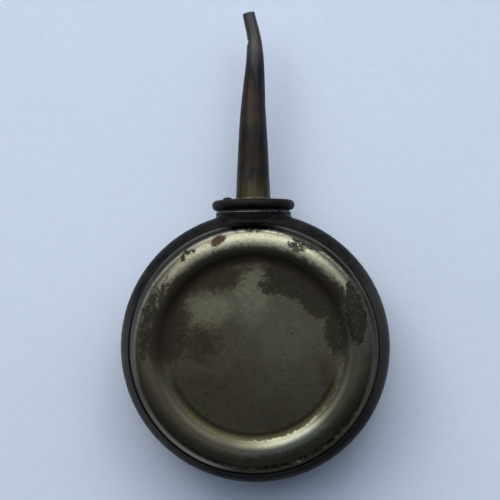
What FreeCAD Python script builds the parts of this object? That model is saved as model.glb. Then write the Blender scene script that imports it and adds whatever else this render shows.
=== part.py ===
"""Handy oiler can: a flat round squeeze can with a screw-in tapered spout, lying on its back.

Frame: +Y runs along the spout, +Z comes out of the front face, and the origin is on the surface
the can lies on, half way along its length. Everything is drawn about the can's own centre first,
and place() moves it to that frame. Lengths are in millimetres, angles in degrees.
"""
import FreeCAD, Part
import math
import os

os.makedirs("parts", exist_ok=True)

Vector = FreeCAD.Vector

# Can body: a rolled side band that holds a pressed cover on each side.
CAN_RADIUS = 28.5
CAN_THICKNESS = 18.5
SHEET = 0.5
SHOULDER_START = 3.4
SHOULDER_CURVE = 5.15
SHOULDER_TURN = 56.5

# Cover pressing, from the crest of its raised bead outwards and inwards.
BEAD_RADIUS = 21.4
BEAD_LAND = 0.5
BEAD_OUTER_CURVE = 4.0
BEAD_OUTER_SLOPE = 42.0
VALLEY_CURVE = 0.8
LIP_SLOPE = 35.0
LIP_CURVE = 0.6
SKIRT_LENGTH = 0.7
BEAD_INNER_CURVE = 2.6
BEAD_INNER_SLOPE = 40.0
FOOT_CURVE = 2.9
PANEL_GAP = 0.2

# Seams of the body.
SEAM_CLEARANCE = 0.02
LAP_WIDTH = 5.0
LAP_THICKNESS = 0.4
LAP_HALF_HEIGHT = 5.5

# Neck collar, drawn about the +Y axis. Its heights are distances from the can's centre.
COLLAR_RADIUS = 8.0
COLLAR_TOP = 28.75
COLLAR_ROUND = 0.3
SPIGOT_RADIUS = 7.3
SPIGOT_END = 24.4
NECK_SOLDER_WIDTH = 0.8
NECK_SOLDER_HEIGHT = 0.45

# Right-hand thread between the plug and the collar.
PITCH = 1.27
PLUG_ROOT_RADIUS = 6.15
PLUG_CREST_RADIUS = 6.7
RIDGE_ROOT_WIDTH = 0.72
RIDGE_CREST_WIDTH = 0.28
RIDGE_TURNS = 2.5
THREAD_CLEARANCE = 0.12
RIDGE_SINK = 0.06

# Screw-in spout: cap, washer, plug and tapered tube.
WASHER_THICKNESS = 0.85
WASHER_INNER_RADIUS = 6.85
WASHER_OUTER_RADIUS = 7.55
CAP_RADIUS = 8.8
CAP_THICKNESS = 2.2
CAP_RIM_GAP = 0.25
CAP_ROUND = 1.05
CAP_HOLE_RADIUS = 3.0
RECESS_RADIUS = 7.7
PLUG_END = 25.3
PLUG_BORE_RADIUS = 5.4
PLUG_SOLDER_SIZE = 0.6
TUBE_WALL = 0.45
BASE_SOLDER_WIDTH = 0.75
BASE_SOLDER_HEIGHT = 0.6
BASE_SOLDER_HOLLOW = 0.12
SPOUT_FOOT_RADIUS = 3.70
SPOUT_FOOT_HEIGHT = 0.8
LAP_SEAM_WIDTH = 0.9
LAP_SEAM_HEIGHT = 0.14
DRIP_RADIUS = 1.3
DRIP_PLACE = (-5.35, 1.62)
DRIP_RISE = 0.65

# Spout stations from the top of its straight foot to its tip: sideways offset, distance from the can's
# centre, outer radius, and how far the tube leans to the left there. The knocked tip bends back to the left.
SPOUT_STATIONS = [
    (0.00, None, 3.66, 0.0),
    (0.10, 40.5, 3.24, -1.0),
    (0.17, 46.0, 2.96, -1.0),
    (0.28, 51.0, 2.61, -2.2),
    (0.54, 55.5, 2.31, -3.2),
    (0.79, 60.0, 1.96, -2.1),
    (0.83, 63.4, 1.71, 1.0),
    (0.68, 66.0, 1.45, 7.6),
    (0.12, 68.7, 1.38, 11.8),
    (-0.41, 71.2, 1.30, 12.0),
]

RECESS_FLOOR = COLLAR_TOP + WASHER_THICKNESS
CAP_BOTTOM = COLLAR_TOP + CAP_RIM_GAP
CAP_TOP = CAP_BOTTOM + CAP_THICKNESS
BEAD_CREST = CAN_THICKNESS / 2
PLUG_CLEARANCE_BORE = PLUG_ROOT_RADIUS + THREAD_CLEARANCE
FAR = 60.0

Z_AXIS = Vector(0, 0, 1)
Y_AXIS = Vector(0, 1, 0)
CENTRE = Vector(0, 0, 0)


def sine(angle):
    return math.sin(math.radians(angle))


def cosine(angle):
    return math.cos(math.radians(angle))


def in_can_section(point):
    """A point of a body section, (radius, height), in the XZ plane."""
    return Vector(point[0], 0, point[1])


def in_neck_section(point):
    """A point of a neck section, (radius, distance along the spout), in the XY plane."""
    return Vector(point[0], point[1], 0)


def outline(points, to_space):
    """A closed face. A plain point is reached by a line, and a (middle, end) pair by an arc."""
    edges = []
    here = to_space(points[0])
    for step in points[1:] + [points[0]]:
        if isinstance(step[0], tuple):
            middle, there = to_space(step[0]), to_space(step[1])
            edges.append(Part.Arc(here, middle, there).toShape())
        else:
            there = to_space(step)
            edges.append(Part.LineSegment(here, there).toShape())
        here = there
    return Part.Face(Part.Wire(edges))


def turned_on_can(points):
    return outline(points, in_can_section).revolve(CENTRE, Z_AXIS, 360)


def turned_on_neck(points):
    return outline(points, in_neck_section).revolve(CENTRE, Y_AXIS, 360)


def neck_cylinder(radius, start, end):
    return Part.makeCylinder(radius, end - start, Vector(0, start, 0), Y_AXIS)


def bent_path(start, heading, bends):
    """Follows tangent bends and gives each one's start, middle and end, with its normals.

    A bend is (radius, turn) with a left turn positive, or (length, 0) for a straight run.
    """
    spans = []
    here = start
    for size, turn in bends:
        if turn == 0:
            end = (here[0] + size * cosine(heading), here[1] + size * sine(heading))
            spans.append([(here, heading), (end, heading)])
            here = end
            continue
        side = math.copysign(1, turn)
        centre = (
            here[0] - side * size * sine(heading),
            here[1] + side * size * cosine(heading),
        )
        span = []
        for share in (0.0, 0.5, 1.0):
            angle = heading + share * turn
            spot = (
                centre[0] + side * size * sine(angle),
                centre[1] - side * size * cosine(angle),
            )
            span.append((spot, angle))
        spans.append(span)
        here = span[-1][0]
        heading += turn
    return spans


def beside(spot, distance):
    """The point at a distance to the right of a path, given its (point, heading)."""
    point, heading = spot
    return (point[0] + distance * sine(heading), point[1] - distance * cosine(heading))


def sheet_section(start, heading, bends, thickness):
    """A bent sheet of even thickness: its outline goes out along one side and back along the other."""
    spans = bent_path(start, heading, bends)
    points = [spans[0][0][0]]
    for span in spans:
        stops = [spot[0] for spot in span[1:]]
        points.append(tuple(stops) if len(stops) == 2 else stops[0])
    points.append(beside(spans[-1][-1], thickness))
    for span in reversed(spans):
        stops = [beside(spot, thickness) for spot in reversed(span[:-1])]
        points.append(tuple(stops) if len(stops) == 2 else stops[0])
    return points


def panel_height():
    """Height of the pressed-in middle of the cover above the can's middle plane."""
    drop = (BEAD_INNER_CURVE + FOOT_CURVE) * (1 - cosine(BEAD_INNER_SLOPE))
    return BEAD_CREST - drop


def foot_radius():
    """Radius where the bead's inner slope meets the flat middle."""
    return BEAD_RADIUS - BEAD_LAND / 2 - (BEAD_INNER_CURVE + FOOT_CURVE) * sine(BEAD_INNER_SLOPE)


def cover_bends():
    return [
        (FOOT_CURVE, BEAD_INNER_SLOPE),
        (BEAD_INNER_CURVE, -BEAD_INNER_SLOPE),
        (BEAD_LAND, 0),
        (BEAD_OUTER_CURVE, -BEAD_OUTER_SLOPE),
        (VALLEY_CURVE, BEAD_OUTER_SLOPE + LIP_SLOPE),
        (LIP_CURVE, -LIP_SLOPE - 90),
        (SKIRT_LENGTH, 0),
    ]


def skirt_radius():
    """Outer radius of the cover's turned-down skirt."""
    start = (foot_radius(), panel_height())
    return bent_path(start, 0, cover_bends())[-1][0][0][0]


def shoulder_edge():
    """Where the rolled-in edge of the side band ends: its (radius, height)."""
    radius = CAN_RADIUS - SHOULDER_CURVE * (1 - cosine(SHOULDER_TURN))
    return (radius, SHOULDER_START + SHOULDER_CURVE * sine(SHOULDER_TURN))


def band_bends(grow=0.0):
    """The side band from its back edge to its front edge, or a line that stands out by grow."""
    shoulder = (SHOULDER_CURVE + grow, SHOULDER_TURN)
    return [shoulder, (2 * SHOULDER_START, 0), shoulder]


def can_volume(grow=0.0):
    """Everything inside the outer face of the side band."""
    radius = CAN_RADIUS + grow - (SHOULDER_CURVE + grow) * (1 - cosine(SHOULDER_TURN))
    height = SHOULDER_START + (SHOULDER_CURVE + grow) * sine(SHOULDER_TURN)
    spans = bent_path((radius, -height), 90 - SHOULDER_TURN, band_bends(grow))
    points = [(0, -height), spans[0][0][0]]
    for span in spans:
        stops = [spot[0] for spot in span[1:]]
        points.append(tuple(stops) if len(stops) == 2 else stops[0])
    points.append((0, height))
    return turned_on_can(points)


def inside_skirts():
    """The space between the two covers' skirts, where nothing outside them may reach."""
    radius = skirt_radius() + SEAM_CLEARANCE
    return Part.makeCylinder(radius, CAN_THICKNESS, Vector(0, 0, -BEAD_CREST))


def side_band():
    """The rolled band: a straight wall with a shoulder turned in against each cover's skirt."""
    radius, height = shoulder_edge()
    section = sheet_section((radius, -height), 90 - SHOULDER_TURN, band_bends(), -SHEET)
    band = turned_on_can(section).cut(inside_skirts())
    return band.cut(neck_cylinder(SPIGOT_RADIUS, 0, FAR))


def band_lap_strip():
    """The inner end of the rolled band, lapped behind the butt line at the foot of the can."""
    outer = CAN_RADIUS - SHEET
    ring = Part.makeCylinder(outer, 2 * LAP_HALF_HEIGHT, Vector(0, 0, -LAP_HALF_HEIGHT))
    ring = ring.cut(Part.makeCylinder(outer - LAP_THICKNESS, CAN_THICKNESS, Vector(0, 0, -BEAD_CREST)))
    keep = Part.makeBox(LAP_WIDTH, CAN_RADIUS, CAN_THICKNESS, Vector(-LAP_WIDTH / 2, -CAN_RADIUS, -BEAD_CREST))
    inside = can_volume(-SHEET)
    return ring.common(keep).common(inside)


def cover():
    """The front cover: inner foot, raised bead, valley, rolled lip and turned-down skirt."""
    start = (foot_radius(), panel_height())
    ring = turned_on_can(sheet_section(start, 0, cover_bends(), SHEET))
    return ring.cut(neck_cylinder(SPIGOT_RADIUS, 0, FAR))


def press_panel():
    """The flat middle of the pressing, which dishes in when it is squeezed."""
    radius = foot_radius() - PANEL_GAP
    return Part.makeCylinder(radius, SHEET, Vector(0, 0, panel_height() - SHEET))


def rim_solder():
    """Solder run into the wedge between the cover's skirt and the inside of the band."""
    inner = skirt_radius() + SEAM_CLEARANCE
    _, top = shoulder_edge()
    foot = top - 2 * SKIRT_LENGTH
    wedge = turned_on_can([(inner, foot), (CAN_RADIUS, foot), (CAN_RADIUS, top), (inner, top)])
    filled = wedge.common(can_volume(-SHEET - SEAM_CLEARANCE))
    return filled.cut(neck_cylinder(SPIGOT_RADIUS, 0, FAR))


def to_back(shape):
    """The same pressing on the other side of the can."""
    return shape.mirror(CENTRE, Z_AXIS)


def thread(root_radius, crest_radius, root_width, crest_width, start, turns):
    """A helical ridge about the +Y axis, starting towards +X at the height start."""
    helix = Part.makeLongHelix(PITCH, turns * PITCH, root_radius)
    corners = [
        Vector(root_radius - RIDGE_SINK, 0, -root_width / 2),
        Vector(crest_radius, 0, -crest_width / 2),
        Vector(crest_radius, 0, crest_width / 2),
        Vector(root_radius - RIDGE_SINK, 0, root_width / 2),
    ]
    profile = Part.makePolygon(corners + [corners[0]])
    ridge = Part.Wire(helix.Edges).makePipeShell([profile], True, True)
    ridge.rotate(CENTRE, Vector(1, 0, 0), -90)
    ridge.translate(Vector(0, start, 0))
    return ridge


def thread_start():
    """Height of the lowest point of the plug's ridge."""
    return PLUG_END + RIDGE_ROOT_WIDTH


def plug_ridge():
    return thread(
        PLUG_ROOT_RADIUS,
        PLUG_CREST_RADIUS,
        RIDGE_ROOT_WIDTH,
        RIDGE_CREST_WIDTH,
        thread_start(),
        RIDGE_TURNS,
    )


def collar_groove():
    """The path that the ridge needs, in step with it and open at both ends of the collar."""
    turns_below = 2
    turns_above = 3
    return thread(
        PLUG_ROOT_RADIUS,
        PLUG_CREST_RADIUS + THREAD_CLEARANCE,
        RIDGE_ROOT_WIDTH + 2 * THREAD_CLEARANCE,
        RIDGE_CREST_WIDTH + 2 * THREAD_CLEARANCE,
        thread_start() - turns_below * PITCH,
        RIDGE_TURNS + turns_below + turns_above,
    )


def neck_collar():
    rim = COLLAR_TOP - COLLAR_ROUND
    shift = COLLAR_ROUND * (1 - cosine(45))
    rounding = (
        (COLLAR_RADIUS - shift, COLLAR_TOP - shift),
        (COLLAR_RADIUS - COLLAR_ROUND, COLLAR_TOP),
    )
    foot = CAN_RADIUS / 2
    barrel = turned_on_neck(
        [(SPIGOT_RADIUS, foot), (COLLAR_RADIUS, foot), (COLLAR_RADIUS, rim), rounding, (SPIGOT_RADIUS, COLLAR_TOP)]
    )
    barrel = barrel.cut(can_volume()).cut(inside_skirts())
    spigot = neck_cylinder(SPIGOT_RADIUS, SPIGOT_END, COLLAR_TOP)
    collar = spigot.cut(neck_cylinder(PLUG_CLEARANCE_BORE, 0, FAR)).fuse(barrel)
    return collar.removeSplitter().cut(collar_groove())


def neck_solder():
    """A band of solder that follows the saddle where the collar stands on the side band."""
    outer = neck_cylinder(COLLAR_RADIUS + NECK_SOLDER_WIDTH, CAN_RADIUS / 2, COLLAR_TOP - COLLAR_ROUND)
    ring = outer.cut(neck_cylinder(COLLAR_RADIUS, 0, FAR))
    return ring.common(can_volume(NECK_SOLDER_HEIGHT)).cut(can_volume()).cut(inside_skirts())


def sealing_washer():
    ring = neck_cylinder(WASHER_OUTER_RADIUS, COLLAR_TOP, RECESS_FLOOR)
    return ring.cut(neck_cylinder(WASHER_INNER_RADIUS, 0, FAR))


def spout_cap():
    """The cap's disc with its fat rolled edge and the recess that holds the washer."""
    top_shift = CAP_ROUND * (1 - cosine(45))
    upper = (
        (CAP_RADIUS - top_shift, CAP_TOP - top_shift),
        (CAP_RADIUS - CAP_ROUND, CAP_TOP),
    )
    rim_round = CAP_RADIUS - RECESS_RADIUS
    rim_shift = rim_round * (1 - cosine(45))
    lower = (
        (CAP_RADIUS - rim_shift, CAP_BOTTOM + rim_shift),
        (CAP_RADIUS, CAP_BOTTOM + rim_round),
    )
    return turned_on_neck(
        [
            (CAP_HOLE_RADIUS, RECESS_FLOOR),
            (RECESS_RADIUS, RECESS_FLOOR),
            (RECESS_RADIUS, CAP_BOTTOM),
            lower,
            (CAP_RADIUS, CAP_TOP - CAP_ROUND),
            upper,
            (CAP_HOLE_RADIUS, CAP_TOP),
        ]
    )


def threaded_plug():
    sleeve = neck_cylinder(PLUG_ROOT_RADIUS, PLUG_END, RECESS_FLOOR)
    sleeve = sleeve.cut(neck_cylinder(PLUG_BORE_RADIUS, 0, FAR))
    return sleeve.fuse(plug_ridge())


def plug_solder():
    """Solder run inside the plug, in the corner under the cap."""
    inner = PLUG_BORE_RADIUS - PLUG_SOLDER_SIZE
    corner = (PLUG_BORE_RADIUS, RECESS_FLOOR)
    shift = PLUG_SOLDER_SIZE * cosine(45)
    curve = (
        (inner + shift, RECESS_FLOOR - PLUG_SOLDER_SIZE + shift),
        (inner, RECESS_FLOOR),
    )
    return turned_on_neck([corner, (PLUG_BORE_RADIUS, RECESS_FLOOR - PLUG_SOLDER_SIZE), curve])


def stations():
    """The spout's stations, the first one standing on the straight foot."""
    foot_top = CAP_TOP + SPOUT_FOOT_HEIGHT
    return [(x, foot_top if y is None else y, radius, lean) for x, y, radius, lean in SPOUT_STATIONS]


def spout_volume(shrink):
    """The tapered, slightly crooked round form of the spout on its straight foot, smaller by shrink all round."""
    foot_end = stations()[0][2]
    foot = Part.makeCone(
        SPOUT_FOOT_RADIUS - shrink, foot_end - shrink, SPOUT_FOOT_HEIGHT, Vector(0, CAP_TOP, 0), Y_AXIS
    )
    rings = []
    for x, y, radius, lean in stations():
        along = Vector(-sine(lean), cosine(lean), 0)
        rings.append(Part.Wire(Part.makeCircle(radius - shrink, Vector(x, y, 0), along)))
    return foot.fuse(Part.makeLoft(rings, True))


def spout_tube():
    return spout_volume(0).cut(spout_volume(TUBE_WALL))


def spout_lap_seam():
    """The soldered lap that runs down the back of the rolled spout."""
    half = LAP_SEAM_WIDTH / 2
    strips = []
    for x, y, radius, lean in stations():
        across = Vector(cosine(lean), sine(lean), 0)
        centre = Vector(x, y, 0)
        low = Z_AXIS * -(radius + LAP_SEAM_HEIGHT)
        high = Z_AXIS * -(radius / 2)
        corners = [
            centre + across * half + low,
            centre - across * half + low,
            centre - across * half + high,
            centre + across * half + high,
        ]
        strips.append(Part.makePolygon(corners + [corners[0]]))
    return Part.makeLoft(strips, True).cut(spout_volume(0))


def spout_base_solder():
    """The hollow-faced ring of solder that holds the spout on its cap."""
    inner = CAP_HOLE_RADIUS
    top = CAP_TOP + BASE_SOLDER_HEIGHT
    neck = SPOUT_FOOT_RADIUS
    chord = math.hypot(BASE_SOLDER_WIDTH, BASE_SOLDER_HEIGHT)
    middle = (
        neck + BASE_SOLDER_WIDTH / 2 - BASE_SOLDER_HOLLOW * BASE_SOLDER_HEIGHT / chord,
        CAP_TOP + BASE_SOLDER_HEIGHT / 2 - BASE_SOLDER_HOLLOW * BASE_SOLDER_WIDTH / chord,
    )
    curve = (middle, (neck + BASE_SOLDER_WIDTH, CAP_TOP))
    ring = turned_on_neck([(inner, CAP_TOP), (inner, top), (neck, top), curve])
    return ring.cut(spout_volume(0))


def cap_solder_drip():
    """A bead of solder that ran onto the cap beside the spout."""
    centre = Vector(DRIP_PLACE[0], CAP_TOP + DRIP_RISE - DRIP_RADIUS, DRIP_PLACE[1])
    ball = Part.makeSphere(DRIP_RADIUS, centre)
    return ball.common(neck_cylinder(CAP_RADIUS, CAP_TOP, CAP_TOP + DRIP_RADIUS))


def place(shape):
    """Moves a shape from the can's own centre to the frame's origin."""
    _, tip, radius, lean = stations()[-1]
    far_end = tip + radius * sine(lean)
    moved = shape.copy()
    moved.translate(Vector(0, (CAN_RADIUS - far_end) / 2, BEAD_CREST))
    return moved


def write(node, shape):
    solids = shape.Solids
    if len(solids) != 1 or not shape.isValid():
        raise ValueError(f"{node}: {len(solids)} solids, valid {shape.isValid()}")
    place(solids[0]).exportStep(f"parts/{node}.step")


NODES = {
    "side_band": side_band(),
    "band_lap_strip": band_lap_strip(),
    "front_cover": cover(),
    "back_cover": to_back(cover()),
    "front_press_panel": press_panel(),
    "back_press_panel": to_back(press_panel()),
    "front_rim_solder": rim_solder(),
    "back_rim_solder": to_back(rim_solder()),
    "neck_collar": neck_collar(),
    "neck_solder": neck_solder(),
    "sealing_washer": sealing_washer(),
    "spout_cap": spout_cap(),
    "threaded_plug": threaded_plug(),
    "plug_solder": plug_solder(),
    "spout_tube": spout_tube(),
    "spout_lap_seam": spout_lap_seam(),
    "spout_base_solder": spout_base_solder(),
    "cap_solder_drip": cap_solder_drip(),
}

for node_name, node_shape in NODES.items():
    write(node_name, node_shape)
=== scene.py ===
"""Looks of the handy oiler can: a flat round squeeze can with a screw-in tapered spout, lying on its back.

Lengths are in metres. MM and PER_MM turn millimetres into metres and back.
"""
import bpy
import math
from mathutils import Matrix, Vector, noise


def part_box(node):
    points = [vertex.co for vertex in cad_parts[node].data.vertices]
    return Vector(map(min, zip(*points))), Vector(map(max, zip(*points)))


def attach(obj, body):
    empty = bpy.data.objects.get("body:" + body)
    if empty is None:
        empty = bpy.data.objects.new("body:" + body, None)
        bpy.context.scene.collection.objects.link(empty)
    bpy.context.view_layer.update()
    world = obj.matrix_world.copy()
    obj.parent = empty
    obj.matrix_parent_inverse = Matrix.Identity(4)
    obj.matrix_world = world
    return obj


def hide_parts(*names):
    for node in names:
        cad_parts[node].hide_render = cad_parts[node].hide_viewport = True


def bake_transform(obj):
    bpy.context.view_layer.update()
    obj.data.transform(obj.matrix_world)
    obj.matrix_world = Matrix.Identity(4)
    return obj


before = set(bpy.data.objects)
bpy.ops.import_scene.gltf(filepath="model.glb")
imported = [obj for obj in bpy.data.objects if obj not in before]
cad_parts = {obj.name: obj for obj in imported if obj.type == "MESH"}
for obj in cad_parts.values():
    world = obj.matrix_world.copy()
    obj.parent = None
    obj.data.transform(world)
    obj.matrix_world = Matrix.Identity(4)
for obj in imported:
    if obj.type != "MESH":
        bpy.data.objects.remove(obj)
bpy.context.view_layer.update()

MM = 0.001
PER_MM = 1000.0
FULL_TURN = 2 * math.pi

# -------- sizes read from the frame
band_low, band_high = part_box("side_band")
front_low, front_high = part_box("front_cover")
back_low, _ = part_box("back_cover")
collar_low, collar_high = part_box("neck_collar")
washer_low, washer_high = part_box("sealing_washer")
cap_low, cap_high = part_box("spout_cap")
plug_low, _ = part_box("threaded_plug")
_, tube_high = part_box("spout_tube")

CAN_RADIUS = (band_high.x - band_low.x) / 2
CENTRE = Vector((0, band_low.y + CAN_RADIUS, (back_low.z + front_high.z) / 2))
BEAD_CREST = front_high.z - CENTRE.z
SKIRT_RADIUS = (front_high.x - front_low.x) / 2
COLLAR_RADIUS = (collar_high.x - collar_low.x) / 2
WASHER_RADIUS = (washer_high.x - washer_low.x) / 2
COLLAR_TOP = collar_high.y - CENTRE.y
COLLAR_END = collar_low.y - CENTRE.y
RECESS_FLOOR = washer_high.y - CENTRE.y
CAP_RADIUS = (cap_high.x - cap_low.x) / 2
CAP_BOTTOM = cap_low.y - CENTRE.y
CAP_TOP = cap_high.y - CENTRE.y
PLUG_END = plug_low.y - CENTRE.y
SPOUT_TIP = tube_high.y - CENTRE.y

# -------- sizes that the boxes don't give
SHEET = 0.5 * MM
BAND_STEP = 0.35 * MM
BAND_COLUMNS = 360
COVER_STEP = 0.14 * MM
COVER_COLUMNS = 480
SHOULDER_START = 3.4 * MM
SHOULDER_CURVE = 5.15 * MM
SHOULDER_TURN = 56.5
BEAD_RADIUS = 21.4 * MM
BEAD_LAND = 0.5 * MM
BEAD_OUTER_CURVE = 4.0 * MM
BEAD_OUTER_SLOPE = 42.0
VALLEY_CURVE = 0.8 * MM
LIP_SLOPE = 35.0
LIP_CURVE = 0.6 * MM
SKIRT_LENGTH = 0.7 * MM
BEAD_INNER_CURVE = 2.6 * MM
BEAD_INNER_SLOPE = 40.0
FOOT_CURVE = 2.9 * MM
SPIGOT_RADIUS = 7.3 * MM
PITCH = 1.27 * MM
PLUG_ROOT_RADIUS = 6.15 * MM
PLUG_CREST_RADIUS = 6.7 * MM
PLUG_BORE_RADIUS = 5.4 * MM
RIDGE_ROOT_WIDTH = 0.72 * MM
RIDGE_CREST_WIDTH = 0.28 * MM
RIDGE_TURNS = 2.5
RIDGE_RUN_OUT = 0.15
THREAD_CLEARANCE = 0.12 * MM
THREAD_START = PLUG_END + RIDGE_ROOT_WIDTH
THREAD_STEP = 0.08 * MM
THREAD_COLUMNS = 192
WASHER_INNER_RADIUS = 6.85 * MM
CAP_ROUND = 1.05 * MM
CAP_HOLE_RADIUS = 3.0 * MM
RECESS_RADIUS = 7.7 * MM
TUBE_WALL = 0.45 * MM

# Spout stations from its base to its tip, in millimetres: sideways offset, distance from the can's
# centre (the first stands on the cap), and outer radius.
SPOUT_STATIONS = [
    (0.00, CAP_TOP * PER_MM, 3.74),
    (0.03, 36.0, 3.48),
    (0.10, 40.5, 3.28),
    (0.17, 46.0, 3.00),
    (0.28, 51.0, 2.65),
    (0.54, 55.5, 2.35),
    (0.79, 60.0, 2.00),
    (0.83, 63.4, 1.75),
    (0.68, 66.0, 1.47),
    (0.12, 68.7, 1.40),
    (-0.41, 71.2, 1.31),
]


# -------- outlines
def trace(start, heading, bends, step):
    """Samples tangent bends as (point, heading). A bend is (radius, turn) or (length, 0)."""
    spots = [(start, heading)]
    for size, turn in bends:
        x, y = spots[-1][0]
        radius = math.copysign(size, turn)
        a = math.radians(heading)
        length = size * math.radians(abs(turn)) if turn else size
        count = max(3 if turn else 1, round(length / step))
        for i in range(1, count + 1):
            share = i / count
            b = math.radians(heading + turn * share)
            if turn:
                spot = (x + radius * (math.sin(b) - math.sin(a)), y + radius * (math.cos(a) - math.cos(b)))
            else:
                spot = (x + size * share * math.cos(a), y + size * share * math.sin(a))
            spots.append((spot, math.degrees(b)))
        heading += turn
    return spots


def beside(spots, distance):
    """The points at a distance to the right of a traced path."""
    return [
        (
            point[0] + distance * math.sin(math.radians(heading)),
            point[1] - distance * math.cos(math.radians(heading)),
        )
        for point, heading in spots
    ]


def sheet_loop(spots, thickness):
    """The closed outline of a bent sheet: out along its face and back along its other side."""
    return [point for point, _ in spots] + beside(spots, thickness)[::-1]


def rounded(corners, radii, count=5):
    """A closed outline through corners, each rounded by its own radius (0 keeps it sharp)."""
    points = []
    total = len(corners)
    for i, corner in enumerate(corners):
        here = Vector(corner)
        before = (Vector(corners[i - 1]) - here).normalized()
        after = (Vector(corners[(i + 1) % total]) - here).normalized()
        if radii[i] == 0:
            points.append(corner)
            continue
        half = before.angle(after) / 2
        reach = radii[i] / math.tan(half)
        centre = here + (before + after).normalized() * radii[i] / math.sin(half)
        first = here + before * reach - centre
        sweep = first.angle_signed(here + after * reach - centre)
        for k in range(count + 1):
            spoke = first.copy()
            spoke.rotate(Matrix.Rotation(-sweep * k / count, 2))
            points.append(tuple(centre + spoke))
    return points


# -------- meshes
def new_piece(name, vertices, faces, sharp_angle=40.0):
    """A new object, smooth shaded except over edges sharper than an angle in degrees."""
    mesh = bpy.data.meshes.new(name)
    mesh.from_pydata([tuple(v) for v in vertices], [], faces)
    mesh.update()
    mesh.shade_smooth()
    mesh.set_sharp_from_angle(angle=math.radians(sharp_angle))
    piece = bpy.data.objects.new(name, mesh)
    bpy.context.scene.collection.objects.link(piece)
    return piece


def ring_faces(rows, columns, close_rows):
    """Quads of a grid whose columns close on themselves, and its rows too if asked."""
    faces = []
    for i in range(rows if close_rows else rows - 1):
        for j in range(columns):
            a = i * columns + j
            b = i * columns + (j + 1) % columns
            c = ((i + 1) % rows) * columns + (j + 1) % columns
            d = ((i + 1) % rows) * columns + j
            faces.append((a, b, c, d))
    return faces


def on_can(radius, height, angle):
    """A point given about the can's own upright axis."""
    return CENTRE + Vector((radius * math.cos(angle), radius * math.sin(angle), height))


def on_neck(radius, along, angle):
    """A point given about the neck's axis, with angle 0 towards +X and 90 degrees towards +Z."""
    return CENTRE + Vector((radius * math.cos(angle), along, radius * math.sin(angle)))


def carried_round(rows, columns, place):
    """The points of a grid: place(row, angle) for each row at each step of a full turn."""
    return [place(row, FULL_TURN * j / columns) for row in rows for j in range(columns)]


def ring_piece(name, rows, columns, place, sharp_angle):
    """A closed ring whose outline is made of rows, each put in place by place(row, angle)."""
    vertices = carried_round(rows, columns, place)
    return new_piece(name, vertices, outward(vertices, ring_faces(len(rows), columns, True)), sharp_angle)


def solid_piece(name, rows, columns, place, sharp_angle=40.0):
    """A closed solid whose rows are rings, with a flat face on its first and its last."""
    vertices = carried_round(rows, columns, place)
    faces = ring_faces(len(rows), columns, False)
    faces.append(tuple(range(columns))[::-1])
    faces.append(tuple(range(len(vertices) - columns, len(vertices))))
    return new_piece(name, vertices, outward(vertices, faces), sharp_angle)


def turned(name, outline, columns, place, shape, sharp_angle=40.0):
    """A closed outline of (radius, height) turned into a ring. shape moves each point a little."""

    def placed(spot, angle):
        radius, height = shape(*spot, angle)
        return place(radius, height, angle)

    return ring_piece(name, outline, columns, placed, sharp_angle)


def unit(value):
    """A value held between 0 and 1."""
    return max(0.0, min(1.0, value))


def outward(vertices, faces):
    """The faces, turned over if they enclose a negative volume."""
    volume = 0.0
    for face in faces:
        for k in range(1, len(face) - 1):
            volume += vertices[face[0]].dot(vertices[face[k]].cross(vertices[face[k + 1]]))
    return faces if volume > 0 else [face[::-1] for face in faces]


def rough(point, size, amount, seed=0.0):
    """Smooth noise about zero. size is its grain and amount its height, both in metres."""
    where = point / size + Vector((seed * 7.31, seed * 3.17, seed * 5.77))
    return amount * noise.noise(where)


def finish_piece(piece, body, material, node):
    """Gives a piece its material, the body that it rides and the CAD node that it replaces."""
    piece.data.materials.clear()
    piece.data.materials.append(material)
    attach(piece, body)
    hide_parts(node)


def cut_away(piece, cutter):
    """Cuts one closed mesh out of another and keeps the result in the piece."""
    modifier = piece.modifiers.new("cut", "BOOLEAN")
    modifier.object = cutter
    modifier.operation = "DIFFERENCE"
    modifier.solver = "EXACT"
    graph = bpy.context.evaluated_depsgraph_get()
    result = bpy.data.meshes.new_from_object(piece.evaluated_get(graph))
    piece.modifiers.clear()
    piece.data = result
    bpy.data.objects.remove(cutter)


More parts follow.
